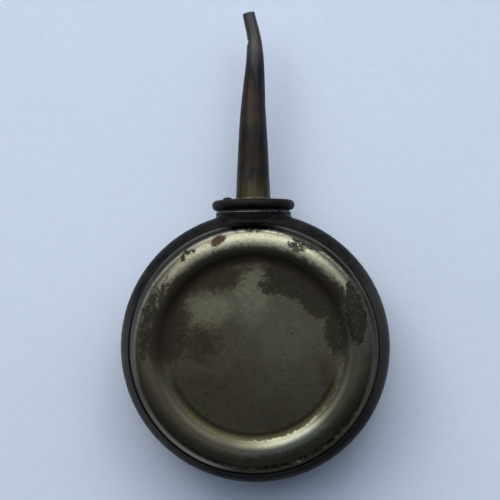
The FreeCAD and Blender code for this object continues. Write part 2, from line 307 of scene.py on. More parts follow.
# -------- node trees
class Nodes:
    """A short way to write a material's node tree."""

    def __init__(self, name):
        self.material = bpy.data.materials.new(name)
        self.material.use_nodes = True
        self.tree = self.material.node_tree
        shifted = self.vector("SUBTRACT", self.node("TexCoord", {})["Object"], tuple(CENTRE))
        self.place = self.vector("SCALE", shifted, scale=PER_MM)
        self.x, self.y, self.z = self.split(self.place)

    def put(self, socket, value):
        if isinstance(value, bpy.types.NodeSocket):
            self.tree.links.new(value, socket)
        elif isinstance(value, tuple) and len(value) == 3 and socket.type == "RGBA":
            socket.default_value = value + (1.0,)
        else:
            socket.default_value = value

    def node(self, kind, inputs, **settings):
        """Makes a node and returns its outputs. inputs gives a value or a link for each socket."""
        node = self.tree.nodes.new("ShaderNode" + kind)
        for name, value in settings.items():
            setattr(node, name, value)
        for key, value in inputs.items():
            self.put(node.inputs[key], value)
        return node.outputs

    def vector(self, operation, a, b=(0.0, 0.0, 0.0), scale=1.0):
        outputs = self.node("VectorMath", {0: a, 1: b, 3: scale}, operation=operation)
        return outputs["Value" if operation in ("LENGTH", "DOT_PRODUCT") else "Vector"]

    def split(self, a):
        return self.node("SeparateXYZ", {0: a})

    def join(self, x, y, z):
        return self.node("CombineXYZ", {0: x, 1: y, 2: z})[0]

    def math(self, operation, a, b=0.0):
        return self.node("Math", {0: a, 1: b}, operation=operation)[0]

    def noise(self, scale, detail=4.0, rough=0.55, where=None):
        """Noise from 0 to 1. scale is in features a millimetre."""
        inputs = {"Vector": where or self.place, "Scale": scale, "Detail": detail, "Roughness": rough}
        return self.node("TexNoise", inputs)["Fac"]

    def noise_vector(self, scale, detail):
        """Three noises at once, each about zero."""
        outputs = self.node("TexNoise", {"Vector": self.place, "Scale": scale, "Detail": detail})
        return self.vector("SUBTRACT", outputs["Color"], (0.5, 0.5, 0.5))

    def cells(self, scale):
        """Distance to the nearest of scattered points."""
        return self.node("TexVoronoi", {"Vector": self.place, "Scale": scale})["Distance"]

    def fade(self, value, low, high, to_low=0.0, to_high=1.0):
        """Smoothly carries a value from low..high to to_low..to_high, clamped."""
        inputs = dict(enumerate((value, low, high, to_low, to_high)))
        return self.node("MapRange", inputs, interpolation_type="SMOOTHSTEP")[0]

    def mix(self, share, a, b, kind="RGBA"):
        """Mixes two colours, or two numbers if kind is FLOAT."""
        return self.node("Mix", {"Factor": share, "A": a, "B": b}, data_type=kind)["Result"]

    def over(self, color, tint, *shares):
        """A colour with a tint over it, as strong as its shares multiplied."""
        return self.mix(self.times(*shares), color, tint)

    def blend(self, share, a, b):
        return self.mix(share, a, b, "FLOAT")

    def times(self, *shares):
        result = shares[0]
        for share in shares[1:]:
            result = self.math("MULTIPLY", result, share)
        return result

    def most(self, *shares):
        result = shares[0]
        for share in shares[1:]:
            result = self.math("MAXIMUM", result, share)
        return result

    def spot(self, where, x, y, radius_x, radius_y, turn, edge):
        """1 inside an ellipse in the XY plane and 0 outside it, in millimetres from the can's centre."""
        moved = self.vector("SUBTRACT", where, (x, y, 0.0))
        px, py, _ = self.split(moved)
        c, s = math.cos(math.radians(turn)), math.sin(math.radians(turn))
        along = self.math("ADD", self.times(px, c / radius_x), self.times(py, s / radius_x))
        across = self.math("ADD", self.times(px, -s / radius_y), self.times(py, c / radius_y))
        reach = self.math("SQRT", self.math("ADD", self.times(along, along), self.times(across, across)))
        return self.fade(reach, 1.0 + edge, 1.0 - edge)

    def spots(self, where, *rows):
        """The strongest of several spots. A row is x, y, radius_x, radius_y, turn, edge and strength."""
        return self.most(*(self.times(self.spot(where, *row[:-1]), row[-1]) for row in rows))

    def facing(self, angle):
        """Cosine of the angle between a place about the can's centre and a direction in degrees."""
        direction = (math.cos(math.radians(angle)), math.sin(math.radians(angle)), 0.0)
        outward = self.vector("NORMALIZE", self.join(self.x, self.y, 0.0))
        return self.vector("DOT_PRODUCT", outward, direction)

    def bump(self, height, distance, strength):
        return self.node("Bump", {"Height": height, "Distance": distance, "Strength": strength})["Normal"]

    def set(self, **values):
        """Gives the shader its values or links and returns the finished material."""
        names = {"color": "Base Color", "metal": "Metallic", "rough": "Roughness", "normal": "Normal"}
        names["shine"] = "Specular IOR Level"
        shader = self.tree.nodes["Principled BSDF"]
        for key, value in values.items():
            self.put(shader.inputs[names[key]], value)
        return self.material


# -------- materials
# Places here are in millimetres from the can's centre, and directions in degrees from +X towards +Y.
def cover_plate(name, front):
    """Tarnished tin plate: olive grey where it is clean, with ragged dark stains and a dark rim. On the
    front, painted highlights brighten the bead and the left of the lip, and painted shade darkens the top of
    the bead's inner slope.
    """
    n = Nodes(name)
    warp = n.vector("SCALE", n.noise_vector(0.3, 4.0), scale=3.4)
    fine_warp = n.vector("SCALE", n.noise_vector(1.1, 5.0), scale=2.0)
    near = n.vector("ADD", n.place, fine_warp)
    where = n.vector("ADD", near, warp)
    where_x, _, _ = n.split(where)
    radius = n.vector("LENGTH", n.join(n.x, n.y, 0.0))
    ragged_radius = n.vector("LENGTH", n.vector("MULTIPLY", near, (1.0, 1.0, 0.0)))
    cloud = n.noise(0.13, 5.0, 0.6)
    mottle = n.noise(0.8, 6.0, 0.65)
    speckle = n.noise(1.9, 6.0, 0.72)
    grain = n.noise(5.0, 5.0, 0.7)

    clean = n.mix(n.fade(cloud, 0.35, 0.65), (0.145, 0.125, 0.079), (0.155, 0.145, 0.088))
    clean = n.over(clean, (0.092, 0.076, 0.05), n.fade(mottle, 0.4, 0.7), 0.4)
    clean = n.over(clean, (0.078, 0.066, 0.044), n.fade(speckle, 0.46, 0.62), 0.5)
    inner_slope = n.times(n.fade(ragged_radius, 18.85, 19.0), n.fade(radius, 22.0, 21.0))
    outer_slope = n.times(n.fade(radius, 20.6, 21.6), n.fade(ragged_radius, 25.0, 24.4))
    if front:
        # lighter patches, high on the front's face, and darker patches, low on it
        lighter_patches = n.most(
            n.spots(where, (0, 11, 3.6, 5.4, 0, 0.7, 1), (7.5, 3.5, 6.5, 5.5, 0, 0.8, 0.4)),
            n.spots(near, (-8.5, 8.2, 5, 3, 10, 0.5, 1), (-13.5, 10.6, 1.1, 1.7, 0, 0.5, 1)),
        )
        darker_patches = n.spots(
            where,
            (-9, -10, 11, 8, -30, 0.9, 1),
            (4, -14.5, 9, 5, 0, 0.9, 1),
            (12, -12, 5, 5, 0, 0.9, 0.6),
        )
        left_stain = n.spots(
            where,
            (-17, 3, 4.8, 7.6, -14, 0.6, 1),
            (-10.8, 1, 6.4, 5, -20, 0.8, 0.85),
            (-7, 14.6, 7, 3.2, 18, 0.6, 0.92),
            (-14.8, 11.8, 2.6, 5, -40, 0.6, 0.85),
        )
        right_stain = n.spots(
            near,
            (3.3, 12.9, 2.3, 1.9, -10, 0.6, 1),
            (8.7, 14.4, 6.9, 4.4, -24, 0.3, 1),
            (14.2, 10.6, 5.2, 4.6, -48, 0.3, 1),
            (17.2, 3.6, 2.6, 6.4, 6, 0.5, 1),
        )
        stain = n.most(left_stain, right_stain)
        bead_stain = n.spots(
            near,
            (21.3, 7.6, 2.1, 7, 5, 0.16, 1),
            (17.8, 11.4, 1.2, 2.6, 32, 0.5, 1),
            (-21.8, 5.2, 1.6, 8, -10, 0.7, 0.8),
            (-19.2, 11.6, 1.1, 4.2, -34, 0.8, 0.66),
            (11, 22.4, 4.4, 1.3, -26, 0.45, 0.95),
            (9.4, 20.9, 2.2, 1.2, -26, 0.7, 0.7),
            (-13.4, 20.3, 1.7, 0.36, 12, 0.5, 1),
            (-14.3, 19.2, 0.42, 1, -8, 0.5, 1),
        )
        rust_spot = n.spots(near, (-6.9, 22.6, 1.7, 0.95, 24, 0.3, 1), (-6, 20.3, 2.2, 0.35, 18, 0.7, 0.5))
        pit_marks = n.spots(
            near,
            (11.8, -1.5, 0.36, 0.36, 0, 0.5, 1),
            (-1.6, -2.4, 0.9, 0.5, 0, 0.8, 0.6),
            (-10, -8.9, 0.4, 0.35, 0, 0.6, 1),
            (8, 3.2, 0.28, 0.24, 0, 0.6, 1),
            (10.8, 2.8, 0.4, 0.22, 0, 0.6, 1),
            (-0.3, 16.4, 0.7, 0.25, 0, 0.6, 0.8),
        )
        maroon = n.spots(where, (15, -5.5, 1.5, 3.2, 10, 0.8, 0.4))
        # painted highlight: brighter metal on the bead's inner slope facing the bottom and on its outer
        # slope facing the top, where the window's highlights fall
        highlight_and_wear = n.most(
            n.times(inner_slope, n.fade(n.facing(293.0), 0.90, 0.995), 0.42),
            n.times(outer_slope, n.fade(n.facing(84.0), 0.72, 0.96), 0.34),
        )
        # darker, rougher bead facing 222 and 338 degrees, and in mottled patches facing 150, which damps the
        # highlights there
        bead_darkening = n.most(
            n.fade(n.facing(222.0), 0.70, 0.86),
            n.times(n.fade(n.facing(338.0), 0.93, 0.98), 0.55),
            n.times(n.fade(n.facing(150.0), 0.66, 0.86), n.fade(mottle, 0.3, 0.6, 0.0, 0.4)),
        )
    else:
        lighter_patches = n.fade(cloud, 0.5, 0.7)
        darker_patches = n.fade(cloud, 0.45, 0.3)
        stain = n.times(n.fade(n.noise(0.07, 5.0, 0.6), 0.5, 0.6), n.fade(radius, 19.5, 18.0))
        bead_stain = n.fade(n.noise(0.15, 5.0, 0.65), 0.56, 0.64)
        rust_spot = n.fade(n.noise(0.21, 5.0, 0.6), 0.66, 0.7)
        pit_marks = n.times(n.fade(n.cells(0.22), 0.1, 0.06), 0.9)
        elsewhere = n.vector("ADD", n.place, (9.0, 4.0, 2.0))
        maroon = n.times(n.fade(n.noise(0.12, 3.0, where=elsewhere), 0.55, 0.7), 0.4)
        # on the back this is wear on the outer slope
        highlight_and_wear = n.times(outer_slope, n.fade(cloud, 0.4, 0.6))
        bead_darkening = n.fade(cloud, 0.55, 0.35)

    color = n.over(clean, (0.27, 0.255, 0.165), lighter_patches, n.fade(grain, 0.3, 0.6, 0.7, 1.0), 0.85)
    color = n.over(color, (0.075, 0.059, 0.04), darker_patches, 0.6)
    color = n.mix(maroon, color, (0.07, 0.036, 0.038))
    color = n.mix(inner_slope, color, (0.105, 0.101, 0.071))
    # painted light and shade on the bead's outer slope: lighter where it faces the top, darker at the sides
    # and lower down, lightest where it faces straight down
    outer_color = n.mix(n.fade(n.facing(85.0), -0.3, 0.5), (0.135, 0.12, 0.08), (0.165, 0.158, 0.11))
    outer_color = n.mix(n.fade(n.facing(277.0), 0.62, 0.94), outer_color, (0.24, 0.24, 0.185))
    color = n.mix(outer_slope, color, outer_color)
    # the bead's painted highlight on the front, its wear on the back
    color = n.over(color, (0.385, 0.395, 0.30), highlight_and_wear, n.fade(speckle, 0.3, 0.55, 1.0, 0.8))
    bead_darkening = n.times(n.most(inner_slope, outer_slope), bead_darkening)
    bead_darkening_color = n.mix(outer_slope, (0.066, 0.059, 0.042), (0.125, 0.11, 0.078))
    color = n.over(color, bead_darkening_color, bead_darkening, 0.85)

    broad = n.times(n.math("SUBTRACT", mottle, 0.5), 1.7)
    fine = n.times(n.math("SUBTRACT", speckle, 0.5), 1.5)
    lumps = n.math("ADD", broad, fine)
    tarnish = n.times(n.fade(n.math("ADD", stain, lumps), 0.1, 0.95), n.fade(stain, 0.0, 0.4))
    hollows = n.times(n.fade(n.math("ADD", stain, n.times(fine, 2.0)), 0.5, 0.8), stain)
    tarnish = n.most(tarnish, n.times(hollows, 0.9))
    tarnish_bead = n.fade(n.math("ADD", bead_stain, lumps), 0.25, 0.7)
    tarnish_bead = n.times(tarnish_bead, n.fade(bead_stain, 0.02, 0.2))
    tarnish = n.most(tarnish, tarnish_bead)
    brown_dark = n.mix(n.fade(mottle, 0.35, 0.65), (0.010, 0.0075, 0.005), (0.031, 0.023, 0.0155))
    grey_dark = n.mix(n.fade(mottle, 0.35, 0.65), (0.009, 0.0085, 0.006), (0.021, 0.019, 0.0135))
    dark = n.mix(n.fade(where_x, -10.0, 0.0), brown_dark, grey_dark)
    dark = n.over(dark, (0.08, 0.071, 0.046), n.fade(speckle, 0.50, 0.66), 0.6)
    smooth_patch = n.fade(tarnish_bead, 0.3, 0.8)
    dark = n.over(dark, (0.013, 0.0122, 0.0118), smooth_patch, 0.8)
    color = n.over(color, dark, tarnish, 0.95)
    rust = n.times(rust_spot, n.fade(speckle, 0.32, 0.42))
    rust_color = n.mix(n.fade(speckle, 0.4, 0.6), (0.03, 0.013, 0.009), (0.066, 0.034, 0.022))
    color = n.mix(rust, color, rust_color)
    color = n.mix(pit_marks, color, (0.02, 0.015, 0.012))
    peppered = n.times(n.fade(speckle, 0.53, 0.62), n.fade(radius, 20.6, 21.6), n.fade(radius, 24.6, 23.8))
    color = n.over(color, (0.08, 0.075, 0.03), peppered, 0.6)

    foot = n.times(n.fade(radius, 16.9, 17.8), n.fade(ragged_radius, 19.05, 18.9), n.fade(n.y, -3.0, -9.0))
    color = n.over(color, (0.032, 0.028, 0.015), foot, 0.8)
    foot_edge = n.times(n.fade(ragged_radius, 18.3, 18.8), n.fade(ragged_radius, 19.15, 18.95))
    foot_edge = n.times(foot_edge, n.fade(n.y, 0.0, -8.0))
    color = n.over(color, (0.04, 0.039, 0.011), foot_edge, 0.6)
    # painted shade: the top of the bead's inner slope, which faces away from the window, is painted dark
    upper = n.fade(n.facing(108.0), 0.08, 0.34)
    slope = n.times(n.fade(ragged_radius, 15.6, 18.4), n.fade(ragged_radius, 22.0, 21.1), upper)
    color = n.over(color, (0.026, 0.021, 0.015), slope, 0.86)
    rim = n.fade(ragged_radius, 24.2, 25.0)
    # painted highlight: the lip is painted lighter on its left side, most towards 142 degrees and faintly
    # towards 218
    side = n.most(n.fade(n.facing(142.0), 0.25, 0.95), n.times(n.fade(n.facing(218.0), 0.7, 0.97), 0.35))
    side = n.times(side, n.fade(radius, 25.8, 25.45))
    # the rim is darker towards the lower left and lighter towards the upper right
    rim_color = n.mix(n.fade(n.facing(60.0), -0.5, 0.6), (0.009, 0.0085, 0.0075), (0.075, 0.07, 0.063))
    rim_color = n.mix(side, rim_color, (0.20, 0.19, 0.18))
    color = n.over(color, rim_color, rim, 0.97)
    flux = n.spot(near, 0, 29.8, 12.5, 5.4, 0, 0.1)
    color = n.mix(flux, color, (0.005, 0.005, 0.005))
    color = n.mix(n.fade(radius, 25.75, 26.1), color, (0.007, 0.0065, 0.0065))

    scarred = n.most(tarnish, rust, pit_marks, n.times(slope, 0.7))
    roughness = n.blend(n.fade(mottle, 0.3, 0.7), 0.30, 0.40)
    roughness = n.blend(highlight_and_wear, roughness, 0.27)
    roughness = n.blend(n.times(bead_darkening, 0.8), roughness, 0.5)
    roughness = n.blend(scarred, roughness, 0.6)
    roughness = n.blend(n.most(rim, flux), roughness, 0.5)
    metal = n.blend(scarred, 1.0, 0.45)
    height = n.math("ADD", n.times(grain, 0.3), n.times(mottle, 0.6))
    normal = n.bump(n.math("ADD", height, n.times(scarred, grain, 0.5)), 0.05 * MM, 0.6)
    return n.set(color=color, metal=metal, rough=roughness, normal=normal, shine=0.1)


def black_metal(name, sheen):
    """Blackened steel with faint brown rust and an oily half gloss, with painted sheen on its flanks. sheen
    sets how much it reflects.
    """
    n = Nodes(name)
    mottle = n.noise(0.7, 6.0, 0.65)
    patch = n.fade(n.noise(0.22, 5.0, 0.6), 0.5, 0.66)
    color = n.mix(n.fade(mottle, 0.35, 0.7), (0.002, 0.002, 0.002), (0.009, 0.0085, 0.0075))
    color = n.over(color, (0.024, 0.013, 0.0105), patch, 0.6)
    # painted sheen: lighter grey on the flanks facing +X and -X, brightest on the left
    color = n.over(color, (0.036, 0.034, 0.031), n.fade(n.facing(2.0), 0.75, 0.98), 0.8)
    color = n.over(color, (0.056, 0.051, 0.047), n.fade(n.facing(202.0), 0.6, 0.97), 0.8)
    specks = n.times(n.fade(n.cells(1.1), 0.14, 0.07), n.fade(n.noise(0.4, 2.0), 0.5, 0.62))
    color = n.over(color, (0.09, 0.08, 0.06), specks, 0.7)
    roughness = n.fade(mottle, 0.3, 0.75, 0.36, 0.58)
    metal = n.times(specks, 0.7)
    normal = n.bump(n.math("ADD", n.noise(3.0, 5.0, 0.7), n.times(mottle, 0.8)), 0.06 * MM, 0.5)
    return n.set(color=color, metal=metal, rough=roughness, normal=normal, shine=sheen)


def collar_metal(name):
    """The collar's black, with a grey metallic ring painted on its top rim as its highlight."""
    n = Nodes(name)
    mottle = n.noise(0.9, 6.0, 0.65)
    color = n.mix(n.fade(mottle, 0.35, 0.7), (0.002, 0.002, 0.002), (0.006, 0.0055, 0.0055))
    # painted highlight: a grey metallic ring along the top rim
    rim = n.fade(n.y, (COLLAR_TOP - 0.32 * MM) * PER_MM, (COLLAR_TOP - 0.1 * MM) * PER_MM)
    rim = n.times(rim, n.fade(n.noise(0.5, 4.0, 0.6), 0.34, 0.55))
    color = n.mix(rim, color, (0.30, 0.29, 0.28))
    roughness = n.blend(rim, n.fade(mottle, 0.3, 0.75, 0.35, 0.5), 0.3)
    normal = n.bump(n.noise(2.5, 5.0, 0.7), 0.04 * MM, 0.5)
    return n.set(color=color, metal=rim, rough=roughness, normal=normal, shine=0.08)


def spout_metal(name):
    """Dark brown patina with faint lengthwise rubbing, greyer at the tip and brassy at the base."""
    n = Nodes(name)
    stretched = n.vector("MULTIPLY", n.place, (1.0, 0.16, 1.0))
    streak = n.noise(0.9, 5.0, 0.55, where=stretched)
    fine_streak = n.noise(3.5, 4.0, 0.6, where=stretched)
    mottle = n.noise(0.5, 6.0, 0.65)
    warm = n.noise(0.12, 3.0, 0.5)
    color = n.mix(n.fade(streak, 0.35, 0.68), (0.012, 0.0098, 0.009), (0.03, 0.0245, 0.0215))
    color = n.over(color, (0.042, 0.026, 0.019), n.fade(warm, 0.48, 0.62), 0.6)
    color = n.over(color, (0.085, 0.074, 0.064), n.fade(fine_streak, 0.55, 0.8), 0.4)
    color = n.over(color, (0.018, 0.015, 0.013), n.fade(mottle, 0.58, 0.72), 0.5)
    color = n.over(color, (0.10, 0.103, 0.094), n.fade(n.y, 58.0, 64.0), 0.45)
    reddish = n.times(n.fade(n.y, 50.0, 52.5), n.fade(n.y, 58.5, 56.0), n.fade(n.x, 1.6, 0.2))
    color = n.over(color, (0.058, 0.031, 0.024), reddish, 0.22)
    olive = n.times(n.fade(n.y, 44.0, 46.5), n.fade(n.y, 50.5, 48.5))
    color = n.over(color, (0.040, 0.041, 0.028), olive, 0.25)
    shade = n.times(n.fade(n.y, 38.0, 41.0), n.fade(n.y, 48.0, 45.0))
    color = n.over(color, (0.014, 0.0105, 0.009), shade, 0.45)
    base = n.fade(n.y, 37.0, 32.5)
    brass = n.mix(n.fade(streak, 0.35, 0.65), (0.036, 0.03, 0.014), (0.075, 0.062, 0.03))
    color = n.over(color, brass, base, 0.85)
    rim = n.times(n.fade(n.y, (SPOUT_TIP - 0.5 * MM) * PER_MM, (SPOUT_TIP - 0.2 * MM) * PER_MM), 0.6)
    color = n.mix(rim, color, (0.16, 0.17, 0.08))
    roughness = n.fade(mottle, 0.3, 0.7, 0.36, 0.52)
    height = n.math("ADD", n.times(streak, 0.5), n.noise(3.0, 5.0, 0.7))
    normal = n.bump(height, 0.05 * MM, 0.45)
    return n.set(color=color, metal=0.75, rough=roughness, normal=normal, shine=0.3)


def solder_metal(name, dark, light):
    """Dull, pitted solder between a dark and a light colour."""
    n = Nodes(name)
    mottle = n.noise(1.2, 6.0, 0.65)
    color = n.mix(n.fade(mottle, 0.35, 0.68), dark, light)
    color = n.over(color, (0.03, 0.025, 0.02), n.fade(n.cells(1.8), 0.16, 0.06), 0.6)
    normal = n.bump(n.math("ADD", mottle, n.noise(4.0, 4.0, 0.6)), 0.07 * MM, 0.6)
    roughness = n.fade(mottle, 0.3, 0.7, 0.36, 0.56)
    return n.set(color=color, metal=0.8, rough=roughness, normal=normal, shine=0.15)


def thread_metal(name):
    """Oily steel with bright thread crests."""
    n = Nodes(name)
    mottle = n.noise(1.0, 6.0, 0.65)
    across = n.vector("LENGTH", n.join(n.x, 0.0, n.z))
    crest = n.fade(across, 6.45, 6.68)
    color = n.mix(n.fade(mottle, 0.35, 0.7), (0.10, 0.085, 0.055), (0.26, 0.22, 0.15))
    color = n.over(color, (0.48, 0.45, 0.38), crest, 0.7)
    roughness = n.blend(crest, n.fade(mottle, 0.3, 0.7, 0.35, 0.55), 0.28)
    normal = n.bump(n.noise(3.0, 5.0, 0.7), 0.04 * MM, 0.5)
    return n.set(color=color, metal=0.95, rough=roughness, normal=normal)


def leather(name):
    """Brown leather soaked with oil, with paler fibres."""
    n = Nodes(name)
    mottle = n.noise(0.8, 6.0, 0.65)
    fibre = n.noise(5.0, 6.0, 0.75)
    color = n.mix(n.fade(mottle, 0.3, 0.7), (0.05, 0.028, 0.016), (0.14, 0.08, 0.045))
    color = n.over(color, (0.2, 0.125, 0.075), n.fade(fibre, 0.5, 0.7), 0.5)
    normal = n.bump(fibre, 0.12 * MM, 0.8)
    return n.set(color=color, metal=0.0, rough=n.fade(mottle, 0.3, 0.7, 0.45, 0.75), normal=normal)


def paper(name):
    """Pale, faintly blue paper."""
    n = Nodes(name)
    fibre = n.noise(0.6, 6.0, 0.7)
    sheet = n.noise(0.02, 3.0, 0.5)
    color = n.mix(n.fade(sheet, 0.3, 0.7), (0.62, 0.695, 0.83), (0.64, 0.715, 0.85))
    color = n.over(color, (0.58, 0.655, 0.80), n.fade(fibre, 0.4, 0.7), 0.25)
    normal = n.bump(fibre, 0.15 * MM, 0.5)
    return n.set(color=color, metal=0.0, rough=0.85, normal=normal)


# -------- can body
def can_wave(angle, height):
    """How far the body is out of round at a place, in metres."""
    where = Vector((math.cos(angle) * 1.6, math.sin(angle) * 1.6, height / (8 * MM) + 3.0))
    return 0.16 * MM * noise.noise(where)


def make_band(material):
    """The rolled band, a little out of round, its front shoulder rubbed hollow at the can's foot."""
    edge_radius = CAN_RADIUS - SHOULDER_CURVE * (1 - math.cos(math.radians(SHOULDER_TURN)))
    edge_height = SHOULDER_START + SHOULDER_CURVE * math.sin(math.radians(SHOULDER_TURN))
    bends = [(SHOULDER_CURVE, SHOULDER_TURN), (2 * SHOULDER_START, 0), (SHOULDER_CURVE, SHOULDER_TURN)]
    spots = trace((edge_radius, -edge_height), 90 - SHOULDER_TURN, bends, BAND_STEP)
    outline = sheet_loop(spots, -SHEET)
    wear_depth = 0.36 * MM
    unworn = math.radians(75)
    clear = SKIRT_RADIUS + 0.03 * MM

    def shape(radius, height, angle):
        wear = math.sin(math.pi * max(0.0, height) / edge_height) * (1 - math.cos(angle - unworn)) / 2
        dip = max(wear_depth * wear, can_wave(angle, height))
        return max(radius - dip, clear), height

    band = turned("side_band_skin", outline, BAND_COLUMNS, on_can, shape, 50)

    def bored(along, angle):
        return on_neck(SPIGOT_RADIUS, along, angle)

    cut_away(band, solid_piece("neck_cutter", (20 * MM, 40 * MM), 128, bored))
    finish_piece(band, "can", material, "side_band")


def make_cover_ring(name, side, material, node):
    """The outer part of a cover, from its bead's crest to its skirt. side is 1 in front, -1 at the back."""
    bends = [
        (BEAD_LAND / 2, 0),
        (BEAD_OUTER_CURVE, -BEAD_OUTER_SLOPE),
        (VALLEY_CURVE, BEAD_OUTER_SLOPE + LIP_SLOPE),
        (LIP_CURVE, -LIP_SLOPE - 90),
        (SKIRT_LENGTH, 0),
    ]
    spots = trace((BEAD_RADIUS, BEAD_CREST), 0, bends, COVER_STEP)
    outline = sheet_loop(spots, SHEET)

    def shape(radius, height, angle):
        sag = face_wave(radius, angle, side)
        return radius, side * (height - sag)

    ring = turned(name, outline, COVER_COLUMNS, on_can, shape, 50)
    finish_piece(ring, "can", material, node)


def face_wave(radius, angle, side):
    """How far the pressed face dips below its drawn shape, in metres. It is never above it."""
    where = Vector((radius * math.cos(angle), radius * math.sin(angle), side * 9 * MM)) / (6 * MM)
    slow = noise.noise(where * 0.45) * 0.5 + 0.5
    quick = noise.noise(where * 1.7) * 0.5 + 0.5
    near_skirt = unit((SKIRT_RADIUS - radius) / (1.5 * MM))
    near_land = unit(abs(radius - BEAD_RADIUS) / (1.2 * MM))
    return (0.05 * slow + 0.012 * quick) * MM * near_skirt * near_land


def make_pressing(name, side, material, node):
    """The middle of a cover with the bead's inner slope."""
    lean = math.radians(BEAD_INNER_SLOPE)
    start_radius = BEAD_RADIUS - BEAD_LAND / 2 - (BEAD_INNER_CURVE + FOOT_CURVE) * math.sin(lean)
    panel_top = BEAD_CREST - (BEAD_INNER_CURVE + FOOT_CURVE) * (1 - math.cos(lean))
    bends = [
        (FOOT_CURVE, BEAD_INNER_SLOPE),
        (BEAD_INNER_CURVE, -BEAD_INNER_SLOPE),
        (BEAD_LAND / 2, 0),
    ]
    slope = trace((start_radius, panel_top), 0, bends, COVER_STEP)
    flat_steps = 40
    flat = [((start_radius * i / flat_steps, panel_top), 0.0) for i in range(1, flat_steps)]
    outline = sheet_loop(flat + slope, SHEET)

    def placed(spot, angle):
        radius, height = spot
        return on_can(radius, side * (height - face_wave(radius, angle, side)), angle)

    vertices = carried_round(outline, COVER_COLUMNS, placed)
    faces = ring_faces(len(outline), COVER_COLUMNS, False)
    for row, height in ((0, panel_top), (len(outline) - 1, panel_top - SHEET)):
        pole = len(vertices)
        vertices.append(placed((0.0, height), 0.0))
        for j in range(COVER_COLUMNS):
            a, b = row * COVER_COLUMNS + j, row * COVER_COLUMNS + (j + 1) % COVER_COLUMNS
            faces.append((b, a, pole) if row == 0 else (a, b, pole))
    piece = new_piece(name, vertices, outward(vertices, faces), 50)
    piece.data.materials.append(material)
    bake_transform(piece)
    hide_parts(node)


# -------- neck
def ridge_share(along, angle, clearance, fade_ends):
    """How much of the thread's full height stands at a place. It climbs right-handed about +Y."""
    turn = -angle / FULL_TURN
    nearest = round((along - THREAD_START) / PITCH - turn)
    away = abs(along - THREAD_START - (nearest + turn) * PITCH)
    half_root = RIDGE_ROOT_WIDTH / 2 + clearance
    half_crest = RIDGE_CREST_WIDTH / 2 + clearance
    share = unit((half_root - away) / (half_root - half_crest))
    if fade_ends:
        turns = nearest + turn
        for left in (turns, RIDGE_TURNS - turns):
            share *= unit(left / RIDGE_RUN_OUT + 0.5)
    return share


def body_radius(height):
    """Outer radius of the side band at a height from the can's middle plane."""
    rise = max(0.0, abs(height) - SHOULDER_START)
    rise = min(rise, SHOULDER_CURVE * math.sin(math.radians(SHOULDER_TURN)))
    return CAN_RADIUS - SHOULDER_CURVE + math.sqrt(SHOULDER_CURVE**2 - rise**2)


def saddle(radius, angle):
    """Distance from the can's centre at which a line beside the neck's axis meets the side band."""
    x, z = radius * math.cos(angle), radius * math.sin(angle)
    return math.sqrt(max(body_radius(z) ** 2 - x * x, 0.0))


def make_collar(material):
    """The collar, its foot sunk in the band's wall, with the internal thread."""
    rim_round = 0.3 * MM
    sunk = 0.25 * MM
    steps = 5
    bore = PLUG_ROOT_RADIUS + THREAD_CLEARANCE
    deep = PLUG_CREST_RADIUS + THREAD_CLEARANCE
    spigot = SPIGOT_RADIUS - 0.02 * MM
    length = COLLAR_TOP - COLLAR_END
    rows = []
    for k in range(steps + 1):
        angle = math.radians(90 * k / steps)
        along = COLLAR_TOP - rim_round * (1 - math.sin(angle))
        rows.append(("rim", COLLAR_RADIUS - rim_round * (1 - math.cos(angle)), along))
    rows.append(("flat", deep + 0.25 * MM, COLLAR_TOP))
    count = round(length / THREAD_STEP)
    rows.extend(("thread", bore, COLLAR_TOP - length * k / count) for k in range(count + 1))
    rows.append(("flat", spigot, COLLAR_END))
    rows.append(("foot", spigot, 0.0))
    rows.append(("foot", COLLAR_RADIUS, 0.0))
    rows.extend(("wall", COLLAR_RADIUS, k / steps) for k in range(1, steps))

    def placed(row, angle):
        kind, radius, along = row
        foot = saddle(COLLAR_RADIUS, angle) - sunk
        if kind == "thread":
            radius += (deep - bore) * ridge_share(along, angle, THREAD_CLEARANCE, False)
        elif kind == "foot":
            along = foot
        elif kind == "wall":
            along = foot + (COLLAR_TOP - rim_round - foot) * along
        if kind in ("rim", "wall"):
            radius -= abs(rough(on_neck(radius, along, angle), 2.5 * MM, 0.05 * MM, 2.0))
        return on_neck(radius, along, angle)

    collar = ring_piece("neck_collar_skin", rows, THREAD_COLUMNS, placed, 35)
    finish_piece(collar, "can", material, "neck_collar")


def make_neck_solder(material):
    """A hollow-faced fillet of solder that follows the saddle where the collar meets the band."""
    size = 0.6 * MM
    lap = 0.05 * MM
    depth = 0.2 * MM
    steps = 5

    def placed(k, angle):
        lump = 1.0 + 0.35 * noise.noise(Vector((math.cos(angle) * 3, math.sin(angle) * 3, 4.2)))
        foot = saddle(COLLAR_RADIUS, angle)
        outer_radius = COLLAR_RADIUS + (size + 0.02 * MM) * lump
        inner = Vector((COLLAR_RADIUS - lap, foot + size * lump))
        corner = Vector((COLLAR_RADIUS + lap, foot + 0.02 * MM))
        outer = Vector((outer_radius, saddle(outer_radius, angle) + 0.01 * MM))
        if k <= steps:
            t = k / steps
            spot = inner * (1 - t) ** 2 + corner * 2 * t * (1 - t) + outer * t**2
        elif k == steps + 1:
            spot = Vector((outer.x, outer.y - depth))
        else:
            spot = Vector((inner.x, corner.y - depth))
        return on_neck(spot.x, spot.y, angle)

    solder = ring_piece("neck_solder_fillet", range(steps + 3), THREAD_COLUMNS, placed, 40)
    finish_piece(solder, "can", material, "neck_solder")


